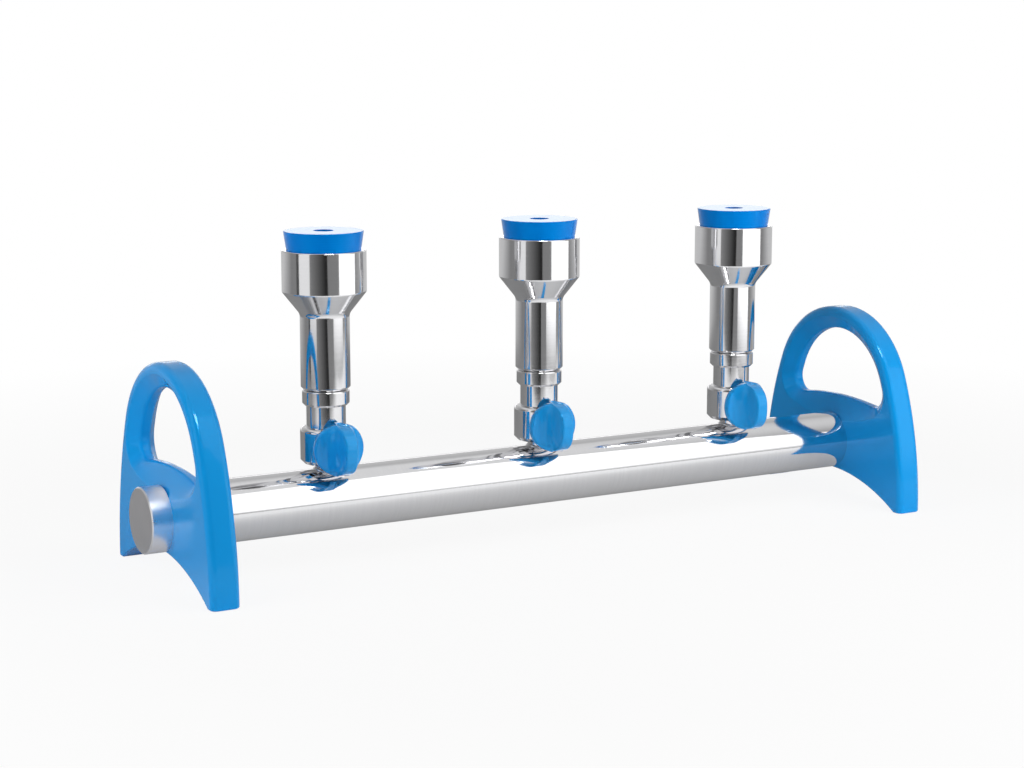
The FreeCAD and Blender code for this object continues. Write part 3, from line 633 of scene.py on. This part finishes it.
cap_steel = faced_steel("cap_steel")
dress("left_end_cap", cap_steel)
dress("outlet_cap", cap_steel)
dress("hose_nozzle", buffed_steel("nozzle_steel", squeeze=(25, 0.5, 0.5), roughness=0.1,
                                  line_strength=0.06))


# The valves
# Each polished body holds a bored steel ball between two white seats.
# A steel stem with its seal and bush turns the ball from the front.
seat_pale = (0.84, 0.84, 0.81, 1)
seat_deep = (0.78, 0.78, 0.75, 1)

seat_white = moulded_plastic("seat_white", seat_pale, seat_deep, roughness=0.4, coat=0,
                             gloss_tint=plain_gloss)
spindle_steel = buffed_steel("spindle_steel", squeeze=(0.5, 25, 0.5), roughness=0.12, line_strength=0.08)
for station in stations:
    dress(f"station_{station}_valve_body", station_steel)
    dress(f"station_{station}_valve_ball", station_steel)
    dress(f"station_{station}_lower_seat", seat_white)
    dress(f"station_{station}_upper_seat", seat_white)
    dress(f"station_{station}_valve_stem", spindle_steel)
    dress(f"station_{station}_stem_bush", spindle_steel)
    dress(f"station_{station}_stem_seal", seal_rubber)


# The knobs
# Glossy blue plastic knobs: a thin disc with a thick upright ridge for the fingers, both sides of
# which sweep hollow into the disc. A grub screw holds each on its valve stem.
knob_blue = (0.014, 0.39, 0.93, 1)
knob_shade = (0.011, 0.36, 0.88, 1)
ridge_half_width = 0.0033
ridge_edge = 0.0010
ridge_reach = 0.0148
ridge_half_height = 0.0126
ridge_squareness = 2.5
sweep_end = 0.0120
disc_thickness = 0.0038
disc_edge = 0.0006
disc_inset = 0.0002
columns = 120
rows = 40
column_crowding = 1.2
merged_within = 0.00001

knob_plastic = moulded_plastic("knob_plastic", knob_blue, knob_shade, roughness=0.1, coat=0.5,
                               gloss_tint=blue_gloss)


def ridge_height(across, up):
    """How far the knob's front stands out from its disc at a place across and up from its middle."""
    reach = min(abs(up) / ridge_half_height, 1)
    crest = ridge_reach * (1 - reach ** ridge_squareness) ** (1 / ridge_squareness)
    past_crest = abs(across) - (ridge_half_width - ridge_edge)
    if past_crest <= 0:
        return crest
    if past_crest <= ridge_edge:
        fall = ridge_edge - math.sqrt(ridge_edge ** 2 - past_crest ** 2)
        return crest - fall * min(crest / ridge_edge, 1)
    sweep = min((past_crest - ridge_edge) / (sweep_end - ridge_half_width), 1)
    return max(crest - ridge_edge, 0) * (1 - math.sqrt(1 - (1 - sweep) ** 2))


def make_knob(name, centre, back, radius):
    """A disc whose front is drawn out into the ridge; the mesh's columns crowd towards its rim."""
    face_radius = radius - disc_edge
    knob = bmesh.new()
    bmesh.ops.create_grid(knob, x_segments=columns, y_segments=rows, size=1)
    for corner in knob.verts:
        turn = math.pi / 2 * abs(corner.co.x) ** column_crowding
        across = math.copysign(math.sin(turn), corner.co.x) * face_radius
        up = corner.co.y * math.sqrt(max(face_radius ** 2 - across ** 2, 0))
        corner.co = (across, -disc_thickness - ridge_height(across, up), up)
    bmesh.ops.remove_doubles(knob, verts=knob.verts, dist=merged_within)
    rim = [edge for edge in knob.edges if edge.is_boundary]
    front_edge = (disc_edge, disc_edge)
    side = (0, disc_thickness - 2 * disc_edge)
    back_edge = (-disc_edge, disc_edge)
    for outset, drop in (front_edge, side, back_edge):
        pulled = bmesh.ops.extrude_edge_only(knob, edges=rim)["geom"]
        rim = [part for part in pulled if isinstance(part, bmesh.types.BMEdge)]
        for corner in {corner for edge in rim for corner in edge.verts}:
            outwards = Vector((corner.co.x, 0, corner.co.z)).normalized()
            corner.co += outwards * outset + Vector((0, drop, 0))
    bmesh.ops.contextual_create(knob, geom=rim)
    bmesh.ops.translate(knob, verts=knob.verts, vec=Vector((centre.x, back, centre.z)))
    bmesh.ops.recalc_face_normals(knob, faces=knob.faces)
    for face in knob.faces:
        face.smooth = True
    return mesh_object(name, knob)


for station in stations:
    low, high = (Vector(corner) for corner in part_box(f"station_{station}_knob"))
    knob = make_knob(f"station_{station}_ridged_knob", (low + high) / 2, high.y,
                     (high.z - low.z) / 2 - disc_inset)
    knob.data.materials.append(knob_plastic)
    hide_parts(f"station_{station}_knob")
    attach(knob, f"valve_{station}")
    dress(f"station_{station}_knob_screw", spindle_steel)


# The adapters and lock rings
# Turned and polished steel: the adapter screws into the valve, and the ring on its thread
# jams against the funnel holder.
for station in stations:
    dress(f"station_{station}_adapter", station_steel)
    dress(f"station_{station}_lock_ring", station_steel)


# The funnel holders
# Each is turned from one steel bar, stem, cone and cup, and polished bright.
# A rubber ring seals its socket on the adapter.
for station in stations:
    dress(f"station_{station}_funnel_holder", station_steel)
    dress(f"station_{station}_holder_seal", seal_rubber)


# The stoppers
# Tapered silicone rubber stoppers with a bore for the funnel's stem, pressed into the cups.
# The moulded rubber is a clear blue with a soft sheen and faint level rings from its mould.
stopper_blue = (0.001, 0.24, 0.80, 1)
stopper_shade = (0.001, 0.22, 0.75, 1)
stopper_gloss = (0.0, 0.55, 1.0, 1)
stopper_roughness = 0.15
stopper_sheen = 0.9
rubber_scale = 120
rubber_detail = 5
mould_ring = 0.0012
mould_ring_share = 0.25
rubber_strength = 0.15
rubber_distance = 0.0002


def moulded_rubber(name):
    """Silicone rubber: clouded between two blues, with faint level rings."""
    material, tree, output = new_material(name)
    place = tree.nodes.new("ShaderNodeTexCoord").outputs["Object"]
    cloud = noise(tree, place, rubber_scale, rubber_detail)
    rings = waves(tree, depth_along(tree, upwards, place), mould_ring)
    faint_rings = ramp(tree, rings, -1.0, 1.0, -mould_ring_share, mould_ring_share)
    surface = combine(tree, "ADD", faint_rings, cloud)
    put_on_skin(tree, output, {
        "Base Color": between(tree, cloud, stopper_shade, stopper_blue),
        "Roughness": stopper_roughness,
        "Specular IOR Level": stopper_sheen,
        "Specular Tint": stopper_gloss,
        "Normal": relief(tree, surface, rubber_strength, rubber_distance)})
    return material


stopper_rubber = moulded_rubber("stopper_rubber")
for station in stations:
    dress(f"station_{station}_stopper", stopper_rubber)


# The finished size
# Colours are shown as they are, and the size of everything shown is worked out.
bpy.context.scene.view_settings.view_transform = "Standard"
low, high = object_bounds()
